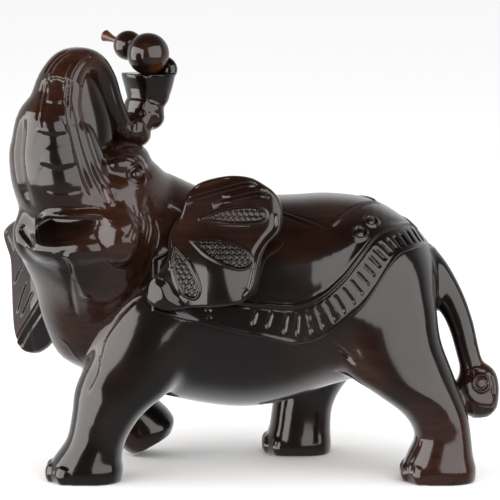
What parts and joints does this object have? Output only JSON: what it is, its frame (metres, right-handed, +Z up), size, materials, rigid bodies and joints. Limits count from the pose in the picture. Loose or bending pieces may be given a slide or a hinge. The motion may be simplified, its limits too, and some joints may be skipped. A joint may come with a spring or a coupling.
{
  "type": "carved wooden elephant",
  "caption": "Dark lacquered wooden elephant standing with its trunk raised over its head, holding a double gourd in the trunk's tip.",
  "frame": {"origin": "on the floor plane under the centre of the bounding box", "axes": "-X ahead of the elephant's body, -Y to its left, +Z up; the head is turned towards -Y"},
  "size_m": [0.3021, 0.1443, 0.2638],
  "materials": {
    "dark_wood": "dark stain under gloss lacquer",
    "gourd_wood": "brown stain under gloss lacquer",
    "eye_wood": "polished, dark",
    "dowel_wood": "plain beech, unfinished"
  },
  "bodies": {
    "figure": {"torso": "dark_wood", "head": "dark_wood", "trunk_column": "dark_wood", "trunk_curl": "dark_wood", "gourd_peg": "dowel_wood", "ear_left": "dark_wood", "ear_right": "dark_wood", "eye_left": "eye_wood", "eye_right": "eye_wood", "tail": "dark_wood", "leg_front_left": "dark_wood", "leg_front_right": "dark_wood", "leg_hind_left": "dark_wood", "leg_hind_right": "dark_wood", "neck_dowels": "dowel_wood", "trunk_dowels": "dowel_wood", "leg_dowels": "dowel_wood", "tail_dowel": "dowel_wood"},
    "gourd": {"gourd": "gourd_wood"}
  },
  "joints": [
    {"name": "gourd_lift", "type": "slide", "parent": "figure", "child": "gourd", "axis": [0, 0, 1], "range_m": [0, 0.03]}
  ]
}
